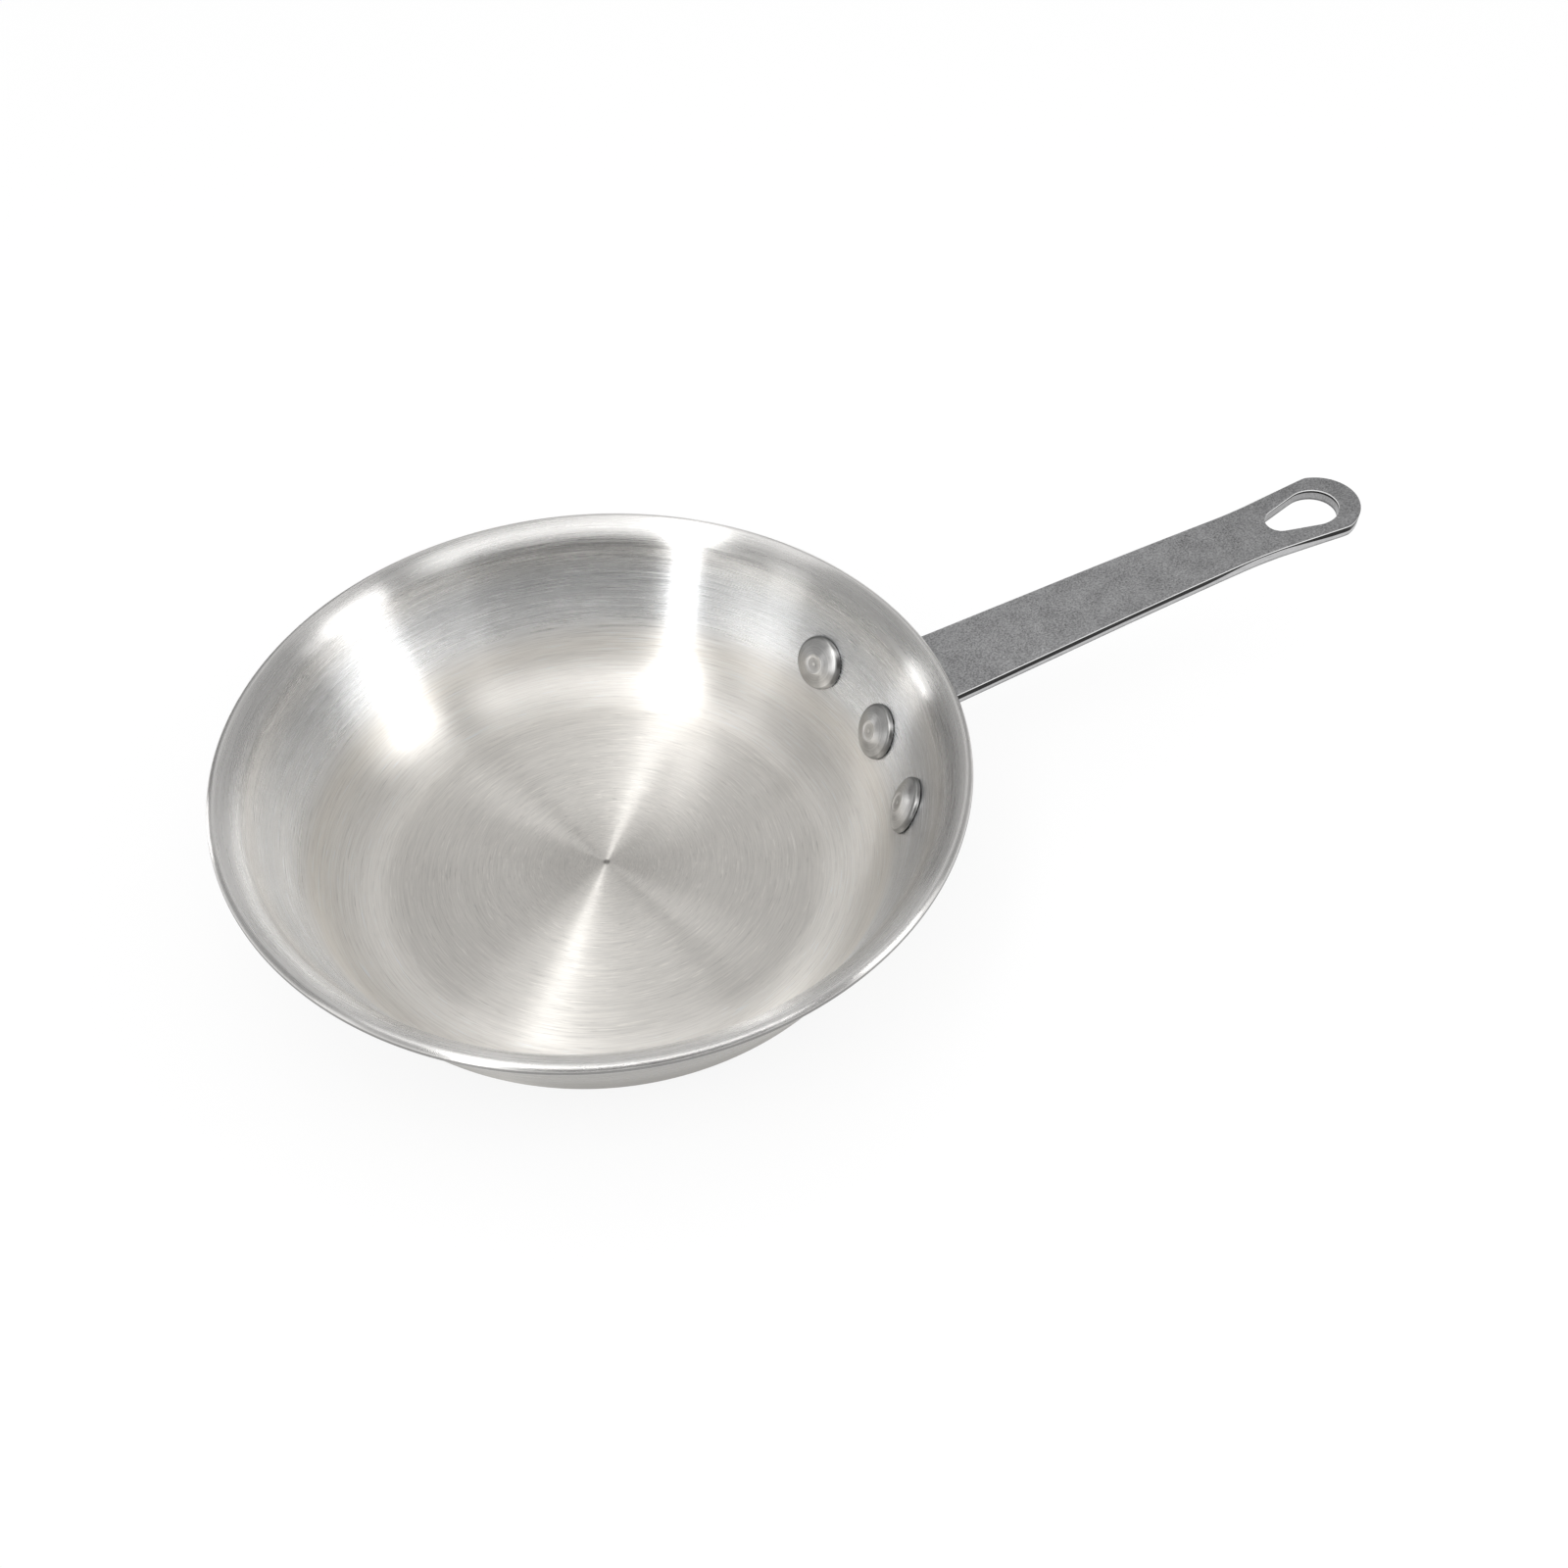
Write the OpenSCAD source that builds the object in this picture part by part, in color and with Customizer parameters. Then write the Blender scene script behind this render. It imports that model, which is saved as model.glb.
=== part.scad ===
// Omelette pan: a spun aluminium pan with a riveted flat steel handle.
// Millimetres. The origin is the centre of the base's underside, +Z is up, and
// the handle points along +X.

/* [Pan] */
// Outside diameter over the rim
pan_d = 203; // [190:1:216]
// Height from the underside of the base to the top of the rim
pan_h = 50.4; // [47:0.2:54]
// Thickness of the pan's sheet
sheet_t = 3; // [2.4:0.1:3.6]
// Slope of the wall above the horizontal, in degrees
wall_slope = 66; // [63:0.5:69]
// Inside radius between the floor and the wall
corner_r = 20; // [14:1:22]
// Radius of the lip's upper surface, where the wall rolls outwards
lip_r = 13; // [11:0.5:14]
// Slope of the lip where it meets its rounded edge, in degrees
lip_slope = 25; // [20:1:32]

/* [Rivets] */
// Diameter of the shanks
shank_d = 6.4; // [5:0.2:7]
// Diameter of the domed heads inside the pan
head_d = 16.4; // [12:0.2:17]
// Height of the straight edge around a domed head
head_edge = 0.6; // [0.4:0.1:1.2]
// Radius of the rounded shoulder between that edge and the dome
shoulder_r = 1.4; // [1.4:0.1:2.4]
// Slope of the dome where it meets the shoulder, in degrees
dome_slope = 30; // [22:1:30]
// Diameter of the flat that the setting tool leaves on the dome
crown_d = 5.8; // [4:0.2:7]
// Diameter of the set heads outside the saddle
tail_d = 10.4; // [9:0.2:12]
// Height of the two outer rivets, where their axes meet the inside of the wall
side_rivet_z = 27.1; // [26:0.1:28]
// Height of the middle rivet, measured in the same way
middle_rivet_z = 25.1; // [24.4:0.1:26]
// Angle around the pan from the middle rivet to each outer one, in degrees
rivet_angle = 21.4; // [18:0.2:23]

/* [Handle] */
// Thickness of the bar and its saddle
bar_t = 3.5; // [2.6:0.1:4]
// Distance from the pan's axis to the tip of the handle
tip_x = 236.6; // [230:0.2:250]
// Width of the bar where it leaves the pan
root_w = 25.8; // [23:0.2:28]
// Width of the bar at its neck, just before the rounded end
neck_w = 19.8; // [18:0.2:22]
// Rise of the bar above the horizontal, in degrees
bar_slope = 11.4; // [9:0.2:13]
// Height of the bar's top face, extended back to the pan's axis
bar_z = 24.7; // [23.6:0.1:25]
// Radius of the gentle downward curve in the outer half of the bar
bar_curve_r = 1700; // [1200:50:3000]
// Radius of the bar's bend at the saddle, on its outer face
bend_r = 8; // [6.5:0.5:9]
// Radius of the saddle's outline around each outer rivet
saddle_r = 9.5; // [8:0.5:10]

/* [Hanging hole] */
// Radius of the hole's wide end
hole_wide_r = 7.65; // [6:0.05:8]
// Radius of the hole's narrow end
hole_narrow_r = 4.8; // [4.4:0.1:5.5]
// Distance between the centres of the two ends
hole_run = 10.2; // [8:0.2:12]

/* [Hidden] */
$fn = 96;

// Clearance between a shank and its hole
fit_gap = 0.02;
// Reach of a cutting shape past the solid that it cuts
over = 1;
// Height that the pan's hollow is drawn above its lip
mouth_h = 10;
// Height of the straight edge and of the dome on a set head
tail_edge = 1.3;
tail_rise = 1.3;

wall_sin = sin(wall_slope);
wall_cos = cos(wall_slope);

// Centre of the lip's rounded edge, and centre of the lip's curve
edge_r = sheet_t / 2;
edge_x = pan_d / 2 - edge_r;
edge_z = pan_h - edge_r;
lip_x = edge_x + (lip_r - edge_r) * sin(lip_slope);
lip_z = edge_z - (lip_r - edge_r) * cos(lip_slope);

// The inside of the wall is the line wall_sin * x - wall_cos * z = wall_k
wall_k = wall_sin * lip_x - wall_cos * lip_z - lip_r;
// Centre of the curve between the floor and the wall; its x is also the flat floor's radius
corner_z = sheet_t + corner_r;
corner_x = (wall_k - corner_r + wall_cos * corner_z) / wall_sin;

// Distance from the pan's axis to the wall at height z, on a surface d outside the inner one
function wall_x(z, d = 0) = (wall_k + d + wall_cos * z) / wall_sin;
// A point at distance r from [x, z], square to a surface that rises at the given slope
function off_surface(x, z, r, slope) = [x - r * sin(slope), z + r * cos(slope)];

// The bar's bend: its outer face is tangent to the wall's outside and to the bar's top face
bar_tan = tan(bar_slope);
meet_x = (wall_k + sheet_t + wall_cos * bar_z) / (wall_sin - wall_cos * bar_tan);
meet_z = bar_z + meet_x * bar_tan;
bend_reach = bend_r * tan((wall_slope - bar_slope) / 2);
bend_from = [meet_x - bend_reach * wall_cos, meet_z - bend_reach * wall_sin];
bend_c = [bend_from[0] + bend_r * wall_sin, bend_from[1] - bend_r * wall_cos];
root = off_surface(bend_c[0], bend_c[1], bend_r, bar_slope);
// Length of the curved root past its bend, and how far the flat bar sits below it there
root_run = 1;
root_step = 0.05;

// The bar is straight to curve_x and then bends gently down
curve_x = 150;
curve_steps = 12;
function bar_top(x) = bar_z + x * bar_tan
    - (x > curve_x ? pow(x - curve_x, 2) / (2 * bar_curve_r * pow(cos(bar_slope), 3)) : 0);
function bar_rise(x) = atan(bar_tan
    - (x > curve_x ? (x - curve_x) / (bar_curve_r * pow(cos(bar_slope), 3)) : 0));

// Plan of the bar's end: a round end cut by two straight flares that start at the neck
end_r = 12.6;
end_x = tip_x - end_r;
neck_run = 22;
neck_x = end_x - neck_run;
// Growth of the bar's half width for each millimetre along the flares
flare = 0.085;
// The hole's wide end lies a little inward of the rounded end's centre
wide_x = end_x - 1.2;
narrow_x = wide_x - hole_run;

// The saddle's outline lies in a plane square to the middle rivet; w is the height up that plane
rivet_mid_depth = sheet_t + bar_t / 2;
rivet_mid_r = wall_x(side_rivet_z) + rivet_mid_depth * wall_sin;
rivet_mid_z = side_rivet_z - rivet_mid_depth * wall_cos;
wing_y = rivet_mid_r * sin(rivet_angle);
wing_w = rivet_mid_r * cos(rivet_angle) * wall_cos + rivet_mid_z * wall_sin;
saddle_fillet = 6;
// Length of the wall's section that the saddle is cut from, and its turn to each side of the handle
saddle_run = 38;
saddle_turn = 45;
// Length of the strip of the saddle's outline that leads up to the bar
strip_run = 60;

// The part of a radial section on the axis side of a surface d outside the pan's inner one
module within_surface(d) {
    corner_end = off_surface(corner_x, corner_z, -(corner_r + d), wall_slope);
    wall_end = off_surface(lip_x, lip_z, lip_r - d, wall_slope);
    lip_end = off_surface(lip_x, lip_z, lip_r - d, lip_slope);
    lip_top = off_surface(lip_x, lip_z, lip_r, lip_slope);
    top_z = lip_top[1] + (d == 0 ? mouth_h : 0);
    difference() {
        union() {
            polygon([
                [0, sheet_t - d],
                [corner_x, sheet_t - d],
                corner_end,
                wall_end,
                lip_end,
                lip_top,
                [lip_top[0], top_z],
                [0, top_z]
            ]);
            intersection() {
                translate([corner_x, corner_z]) circle(corner_r + d);
                square([pan_d, corner_z]);
            }
        }
        translate([lip_x, lip_z]) circle(lip_r - d);
    }
}

// The inside of the pan as a solid
module hollow() {
    rotate_extrude() within_surface(0);
}

// Puts its children on a rivet's axis: z = 0 on the inside of the wall, +z out of the pan
module at_rivet(angle, z) {
    rotate([0, 0, angle])
        translate([wall_x(z), 0, z])
            rotate([0, 180 - wall_slope, 0])
                children();
}

// The three shank holes
module rivet_holes() {
    at_rivet(-rivet_angle, side_rivet_z) shank_hole();
    at_rivet(0, middle_rivet_z) shank_hole();
    at_rivet(rivet_angle, side_rivet_z) shank_hole();
}

module shank_hole() {
    translate([0, 0, -over]) cylinder(h = sheet_t + bar_t + 2 * over, d = shank_d);
}

module pan_body() {
    color([0.80, 0.79, 0.76])
        difference() {
            rotate_extrude() {
                difference() {
                    within_surface(sheet_t);
                    within_surface(0);
                }
                translate([edge_x, edge_z]) circle(edge_r);
            }
            rivet_holes();
        }
}

// A cap with a straight edge: edge_h of cylinder under a dome, standing on z = 0 and sunk below it
module cap(d, edge_h, rise, sunk) {
    ball_r = (d * d / 4 + rise * rise) / (2 * rise);
    rotate_extrude()
        intersection() {
            translate([0, edge_h + rise - ball_r]) circle(ball_r);
            translate([0, -sunk]) square([d / 2, sunk + edge_h + rise]);
        }
}

// A domed head standing on z = 0 and sunk below it: a straight edge, a rounded shoulder, and a flat on its crown
module button(sunk) {
    bend_x = head_d / 2 - shoulder_r;
    dome_x = bend_x + shoulder_r * sin(dome_slope);
    dome_z = head_edge + shoulder_r * cos(dome_slope);
    ball_r = dome_x / sin(dome_slope);
    ball_z = dome_z - ball_r * cos(dome_slope);
    crown_z = ball_z + sqrt(ball_r * ball_r - crown_d * crown_d / 4);
    rotate_extrude() {
        polygon([
            [0, -sunk],
            [head_d / 2, -sunk],
            [head_d / 2, head_edge],
            [dome_x, dome_z],
            [0, dome_z]
        ]);
        intersection() {
            translate([bend_x, head_edge]) circle(shoulder_r);
            translate([0, head_edge]) square([head_d / 2, shoulder_r]);
        }
        intersection() {
            translate([0, ball_z]) circle(ball_r);
            translate([0, dome_z]) square([dome_x, crown_z - dome_z]);
        }
    }
}

// The domed head, pressed to the wall's inside
module domed_head(angle, z) {
    intersection() {
        at_rivet(angle, z) rotate([180, 0, 0]) button(over);
        hollow();
    }
}

// The set head, formed against the saddle's outer face
module set_head(angle, z) {
    difference() {
        at_rivet(angle, z)
            translate([0, 0, sheet_t + bar_t])
                cap(tail_d, tail_edge, tail_rise, over);
        rotate_extrude()
            polygon([
                [0, 0],
                [wall_x(0, sheet_t + bar_t), 0],
                [wall_x(pan_h, sheet_t + bar_t), pan_h],
                [0, pan_h]
            ]);
    }
}

module rivet(angle, z) {
    color([0.86, 0.86, 0.85]) {
        domed_head(angle, z);
        at_rivet(angle, z)
            translate([0, 0, -shoulder_r])
                cylinder(h = shoulder_r + sheet_t + bar_t + tail_edge, d = shank_d - 2 * fit_gap);
        set_head(angle, z);
    }
}

// Seen by somebody who holds the handle and looks towards the pan
module rivet_left() {
    rivet(-rivet_angle, side_rivet_z);
}

module rivet_middle() {
    rivet(0, middle_rivet_z);
}

module rivet_right() {
    rivet(rivet_angle, side_rivet_z);
}

// Radial section of the saddle, its bend and the start of the bar
module root_section() {
    low = bend_from - saddle_run * [wall_cos, wall_sin];
    polygon([
        low,
        bend_from,
        bend_from + bar_t * [wall_sin, -wall_cos],
        low + bar_t * [wall_sin, -wall_cos]
    ]);
    intersection() {
        difference() {
            translate(bend_c) circle(bend_r);
            translate(bend_c) circle(bend_r - bar_t);
        }
        polygon([
            bend_c,
            off_surface(bend_c[0], bend_c[1], 2 * bend_r, wall_slope),
            off_surface(bend_c[0], bend_c[1], 2 * bend_r, bar_slope)
        ]);
    }
    run = root_run * [cos(bar_slope), sin(bar_slope)];
    under = off_surface(root[0], root[1], -bar_t, bar_slope);
    polygon([root, root + run, under + run, under]);
}

// Outline of the saddle and the bar's root: x is across the handle, y is w
module saddle_outline() {
    for (side = [-1, 1]) {
        translate([side * wing_y, wing_w]) circle(saddle_r);
        difference() {
            translate([side * (root_w / 2 + saddle_fillet / 2), wing_w + saddle_r + saddle_fillet / 2])
                square(saddle_fillet, center = true);
            translate([side * (root_w / 2 + saddle_fillet), wing_w + saddle_r + saddle_fillet])
                circle(saddle_fillet);
        }
    }
    translate([-wing_y, wing_w - saddle_r]) square([2 * wing_y, 2 * saddle_r]);
    translate([-root_w / 2, wing_w]) square([root_w, strip_run]);
}

// Plan of the flat bar with its hanging hole
module bar_plan() {
    flare_w = neck_w / 2 + flare * (tip_x - neck_x);
    difference() {
        intersection() {
            polygon([
                [root[0] - bar_t, -root_w / 2],
                [root[0], -root_w / 2],
                [neck_x, -neck_w / 2],
                [tip_x, -flare_w],
                [tip_x, flare_w],
                [neck_x, neck_w / 2],
                [root[0], root_w / 2],
                [root[0] - bar_t, root_w / 2]
            ]);
            union() {
                translate([root[0] - bar_t, -root_w]) square([end_x - root[0] + bar_t, 2 * root_w]);
                translate([end_x, 0]) circle(end_r);
            }
        }
        hanging_hole();
    }
}

// A wide and a narrow round end, joined by their two outer tangents
module hanging_hole() {
    lean = asin((hole_wide_r - hole_narrow_r) / hole_run);
    translate([wide_x, 0]) circle(hole_wide_r);
    translate([narrow_x, 0]) circle(hole_narrow_r);
    polygon([
        for (side = [-1, 1])
            for (part = side < 0 ? [0, 1] : [1, 0])
                let (r = part == 0 ? hole_narrow_r : hole_wide_r)
                [(part == 0 ? narrow_x : wide_x) - r * sin(lean), side * r * cos(lean)]
    ]);
}

// Side view of the flat bar
module bar_section() {
    stations = [root[0], for (k = [0:curve_steps]) curve_x + (tip_x + over - curve_x) * k / curve_steps];
    tops = [for (x = stations) [x, bar_top(x) - root_step]];
    bottoms = [for (x = stations) off_surface(x, bar_top(x) - root_step, -bar_t, bar_rise(x))];
    polygon(concat(tops, [for (k = [len(bottoms) - 1:-1:0]) bottoms[k]]));
}

module handle() {
    color([0.62, 0.62, 0.62])
        difference() {
            union() {
                intersection() {
                    rotate([0, 0, -saddle_turn]) rotate_extrude(angle = 2 * saddle_turn) root_section();
                    rotate([90, 0, 90])
                        rotate([90 - wall_slope, 0, 0])
                            linear_extrude(pan_d) saddle_outline();
                }
                intersection() {
                    rotate([90, 0, 0]) linear_extrude(2 * root_w, center = true) bar_section();
                    linear_extrude(2 * pan_h) bar_plan();
                }
            }
            rivet_holes();
        }
}

pan_body();
handle();
rivet_left();
rivet_middle();
rivet_right();
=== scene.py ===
"""Looks of a spun aluminium omelette pan with a riveted flat steel handle.

Shapes are worked out in millimetres and brought to metres as each piece is finished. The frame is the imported
part's: the origin is the centre of the base's underside, +Z is up and the handle points along +X.
"""

import math

import bmesh
import bpy
from mathutils import Matrix, Vector


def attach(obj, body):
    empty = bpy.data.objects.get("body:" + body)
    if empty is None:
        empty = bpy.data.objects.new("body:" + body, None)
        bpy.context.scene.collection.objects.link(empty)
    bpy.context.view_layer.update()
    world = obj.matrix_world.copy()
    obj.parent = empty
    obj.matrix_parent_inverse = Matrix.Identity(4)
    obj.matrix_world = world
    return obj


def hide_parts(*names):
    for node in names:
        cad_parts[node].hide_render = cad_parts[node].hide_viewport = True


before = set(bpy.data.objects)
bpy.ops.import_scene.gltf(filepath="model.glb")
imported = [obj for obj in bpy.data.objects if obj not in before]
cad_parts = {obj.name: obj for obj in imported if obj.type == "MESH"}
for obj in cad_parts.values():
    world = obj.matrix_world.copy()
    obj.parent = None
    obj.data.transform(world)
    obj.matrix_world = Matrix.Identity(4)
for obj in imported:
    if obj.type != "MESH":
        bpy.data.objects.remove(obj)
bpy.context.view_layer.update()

MM = 0.001
# Points nearer to each other than this are one point
WELD = 0.0005

# The pan's section has a flat floor, a curved corner, a straight wall, and a lip that rolls outwards
SHEET = 3.0
RIM_R = 101.5
RIM_Z = 50.4
WALL_SLOPE = math.radians(66)
LIP_SLOPE = math.radians(25)
CORNER_R = 20.0
LIP_R = 13.0
EDGE_R = SHEET / 2
PAN_STEPS = 250
# Steps along the section
FLOOR_STEPS = 14
CORNER_STEPS = 30
WALL_STEPS = 12
LIP_STEPS = 20
UNDER_LIP_STEPS = 16
EDGE_STEPS = 20
# Past this radius the face is the lip's
LIP_FACE_R = 92.0
# The lathe's centre leaves a small dimple in the middle of the floor, and another under the base
FLOOR_DIMPLE_R = 0.5
FLOOR_DIMPLE_DEPTH = 0.2
BASE_DIMPLE_R = 0.6
BASE_DIMPLE_DEPTH = 0.25
# Radius of the finer middle of both flat faces
HUB_R = 4.0
HUB_STEPS = 2

# The rivets
SHANK_R = 3.2
SHANK_GAP = 0.02
HEAD_R = 8.2
HEAD_EDGE = 0.6
SHOULDER_R = 1.4
DOME_SLOPE = math.radians(30)
CROWN_R = 2.9
TAIL_R = 5.2
TAIL_EDGE = 1.3
TAIL_DOME = 1.3
RIVET_STEPS = 128
DOME_STEPS = 12
SHOULDER_STEPS = 24
SHANK_STEPS = 4
TAIL_STEPS = 10
HOLE_STEPS = 48
# The crown is faced a little hollow, with a pip at its centre and a raised ring round it. Heights are
# measured from the crown's edge, and each point of the profile has its radius, its height and its steps.
PIP_Z = -0.06
CROWN_PROFILE = (
    (0.22, -0.08, 1), (0.4, -0.15, 1), (2.3, -0.1, 6), (2.55, -0.04, 1), (2.7, 0, 1), (CROWN_R, 0, 1),
)
# The rounded foot of a domed head: how far in from its side, and how high, each point is
FOOT_PROFILE = ((0, 0.45), (0.08, 0.3), (0.3, 0.06))
# The broken edges of a set head: the one against the saddle, and the one that meets the dome
TAIL_FOOT_W = 0.15
TAIL_FOOT_H = 0.2
TAIL_ROUND_W = 0.3
TAIL_ROUND_H = 0.35
# What lies this near a head's flat seat, on the head's side and on the other, is pressed to the curve there
SEAT_REACH = 0.25
SEAT_SLACK = 0.01
# A head is painted darker towards its joint with the wall, as painted shade, from this height down
JOINT_H = 2.2
# Angle around the pan from the middle rivet to each outer one, and where the axes meet the inside of the wall
RIVET_ANGLE = math.radians(21.4)
SIDE_RIVET_Z = 27.1
MIDDLE_RIVET_Z = 25.1
RIVETS = {
    "rivet_left": (-RIVET_ANGLE, SIDE_RIVET_Z),
    "rivet_middle": (0.0, MIDDLE_RIVET_Z),
    "rivet_right": (RIVET_ANGLE, SIDE_RIVET_Z),
}

# The handle: its saddle, its bend and its bar
BAR = 3.5
BAR_SLOPE = math.radians(11.4)
BAR_Z = 24.7
# How far the bar's top lies under the bend's, where it comes out of it
ROOT_STEP = 0.056
BEND_R = 8.0
# The bar is straight as far as CURVE_X, and then curves gently down
CURVE_X = 150.0
CURVE_R = 1700.0
# The bar narrows from its root to its neck, and then flares to its round end
ROOT_HALF = 12.9
NECK_HALF = 9.9
TIP_X = 236.6
END_R = 12.6
END_X = TIP_X - END_R
NECK_X = END_X - 22.0
# Growth of the half width for each millimetre past the neck
FLARE = 0.085
# The saddle's outline round each outer rivet, and its fillets into the bar
SADDLE_R = 9.5
SADDLE_FILLET = 6.0
# The wide end and the narrow end of the hanging hole
WIDE_X = END_X - 1.2
WIDE_R = 7.65
NARROW_X = WIDE_X - 10.2
NARROW_R = 4.8
# Width of the broken edges
RIM_BEVEL = 0.45
# Rounding of the outline's corners at the neck and at the end of the flares
NECK_ROUND = 6.0
FLARE_ROUND = 2.0
KINK_STEPS = 6
# Steps of the outline's arcs
WING_STEPS = 20
FILLET_STEPS = 10
END_STEPS = 24
WIDE_STEPS = 20
NARROW_STEPS = 12
# Spacing of the cuts across the saddle, the bend and the bar, and of the cuts along the strip
SADDLE_PITCH = 1.6
BEND_PITCH = 0.5
BAR_PITCH = 3.2
LENGTHWISE_PITCH = 2.0
# Distances past the bend: to the end of its fine cuts, to where the bar is flat, and to where its cut edges
# stand upright
FINE_RUN = 6.0
FLAT_RUN = 5.0
UPRIGHT_RUN = 8.0
# Half the width, the start and the end of the box in which a cut edge is the hanging hole's
HOLE_HALF = 8.2
HOLE_FROM = 200.0
HOLE_TO = 232.0

# Colours of the brushed metal: on the floor, on the inside of the wall, and towards the lip. They are tints of
# one sheet, painted warmer or cooler as painted reflections of warmer and cooler light
FLOOR_METAL = (0.81, 0.785, 0.745, 1.0)
WALL_METAL = (0.770, 0.777, 0.788, 1.0)
LIP_METAL = (0.79, 0.778, 0.762, 1.0)
RIVET_METAL = (0.62, 0.615, 0.605)
# Colours of the strip: its plated face, the painted highlight on its corners, and the torn part of its cut
# edges
PLATED = (0.37, 0.37, 0.375)
PAINTED_HIGHLIGHT = (0.88, 0.88, 0.88, 1.0)
TORN = (0.5, 0.5, 0.505)
# Nearly black, for painted shade: the painted shadow in the rivets' joints and the painted dark reflection on
# the strip's cut edges
PAINTED_SHADE_BLACK = (0.012, 0.012, 0.012, 1.0)
WHITE = (1, 1, 1, 1)

wall_sin, wall_cos = math.sin(WALL_SLOPE), math.cos(WALL_SLOPE)
edge = Vector((RIM_R - EDGE_R, 0, RIM_Z - EDGE_R))


def square_to(point, distance, slope):
    """The point at a distance from another, square to a surface of the pan's section that rises at slope."""
    return point + distance * Vector((-math.sin(slope), 0, math.cos(slope)))


lip = square_to(edge, EDGE_R - LIP_R, LIP_SLOPE)
# The inside of the wall is the line wall_sin * x - wall_cos * z = wall_k
wall_k = wall_sin * lip.x - wall_cos * lip.z - LIP_R
corner = Vector((0, 0, SHEET + CORNER_R))
corner.x = (wall_k - CORNER_R + wall_cos * corner.z) / wall_sin


# Mesh work shared by the pieces


def turn_on(bm, vert, centre, degrees, steps):
    """Carries a profile on from vert in an arc about centre, in the XZ plane, clockwise seen from -Y."""
    turned = bmesh.ops.spin(
        bm, geom=[vert], cent=centre, axis=(0, 1, 0), angle=math.radians(degrees), steps=steps
    )
    return turned["geom_last"][0]


def run_on(bm, vert, to, steps=1):
    """Carries a profile on from vert in a straight line."""
    start = vert.co.copy()
    for step in range(1, steps + 1):
        vert = bmesh.ops.extrude_vert_indiv(bm, verts=[vert])["verts"][0]
        vert.co = start.lerp(Vector(to), step / steps)
    return vert


def spin_profile(bm, steps):
    """Turns a profile into a closed shell around Z, with a map: U around it and V along the profile."""
    along = bm.verts.layers.float.new("along")
    reached = 0.0
    bm.verts.ensure_lookup_table()
    for before, vert in zip(bm.verts[:-1], bm.verts[1:]):
        reached += (vert.co - before.co).length
        vert[along] = reached
    bmesh.ops.spin(
        bm, geom=bm.verts[:] + bm.edges[:], cent=(0, 0, 0), axis=(0, 0, 1), angle=math.tau, steps=steps,
        use_merge=True,
    )
    bmesh.ops.remove_doubles(bm, verts=bm.verts, dist=WELD)
    bmesh.ops.recalc_face_normals(bm, faces=bm.faces)
    around = bm.loops.layers.uv.new("OFBake")
    for face in bm.faces:
        middle = face.calc_center_median()
        middle_turn = math.atan2(middle.y, middle.x) % math.tau
        for loop in face.loops:
            co = loop.vert.co
            on_axis = math.hypot(co.x, co.y) < WELD
            turn = middle_turn if on_axis else math.atan2(co.y, co.x) % math.tau
            turn += math.tau * round((middle_turn - turn) / math.tau)
            loop[around].uv = (turn / math.tau, loop.vert[along] / reached)


def finished(bm, name, material, slot, *nodes):
    """Makes the piece's object from its mesh in millimetres, in place of its CAD nodes."""
    bmesh.ops.scale(bm, vec=(MM, MM, MM), verts=bm.verts)
    mesh = bpy.data.meshes.new(name)
    bm.to_mesh(mesh)
    bm.free()
    mesh.materials.append(material)
    mesh.shade_smooth()
    piece = bpy.data.objects.new(name, mesh)
    bpy.context.scene.collection.objects.link(piece)
    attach(piece, "root")
    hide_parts(*nodes)
    return piece


def settle(piece):
    """Applies the piece's modifiers to its mesh."""
    graph = bpy.context.evaluated_depsgraph_get()
    mesh = bpy.data.meshes.new_from_object(
        piece.evaluated_get(graph), preserve_all_data_layers=True, depsgraph=graph
    )
    piece.modifiers.clear()
    piece.data = mesh


def rivet_frame(angle, height):
    """The place of a rivet: its origin on the inside of the wall, its +Z into the pan."""
    x = (wall_k + wall_cos * height) / wall_sin
    return (
        Matrix.Rotation(angle, 4, "Z")
        @ Matrix.Translation((x, 0, height))
        @ Matrix.Rotation(-WALL_SLOPE, 4, "Y")
    )


def drill(piece):
    """Cuts the three shank holes through a piece."""
    bm = bmesh.new()
    for angle, height in RIVETS.values():
        place = Matrix.Scale(MM, 4) @ rivet_frame(angle, height) @ Matrix.Translation((0, 0, -SHEET))
        bmesh.ops.create_cone(
            bm, cap_ends=True, segments=HOLE_STEPS, radius1=SHANK_R, radius2=SHANK_R, depth=4 * SHEET,
            matrix=place,
        )
    mesh = bpy.data.meshes.new("shanks")
    bm.to_mesh(mesh)
    bm.free()
    cutter = bpy.data.objects.new("shanks", mesh)
    bpy.context.scene.collection.objects.link(cutter)
    cut = piece.modifiers.new("shank holes", "BOOLEAN")
    cut.operation = "DIFFERENCE"
    cut.solver = "EXACT"
    cut.object = cutter
    settle(piece)
    bpy.data.objects.remove(cutter)


# Shader work shared by the finishes


class Reading:
    """A socket's value. Arithmetic on it adds Math nodes to its finish."""

    def __init__(self, finish, socket):
        self.finish = finish
        self.socket = socket

    def __add__(self, other):
        return self.finish.work("ADD", self, other)

    def __sub__(self, other):
        return self.finish.work("SUBTRACT", self, other)

    def __rsub__(self, other):
        return self.finish.work("SUBTRACT", other, self)

    def __mul__(self, other):
        return self.finish.work("MULTIPLY", self, other)

    def __truediv__(self, other):
        return self.finish.work("DIVIDE", self, other)

    __radd__ = __add__
    __rmul__ = __mul__

    def between(self, low, high):
        """0 below low, 1 above high, and a smooth ramp between them."""
        return self.finish.node(
            "ShaderNodeMapRange",
            {"interpolation_type": "SMOOTHSTEP"},
            {"Value": self, "From Min": low, "From Max": high},
        )


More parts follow.
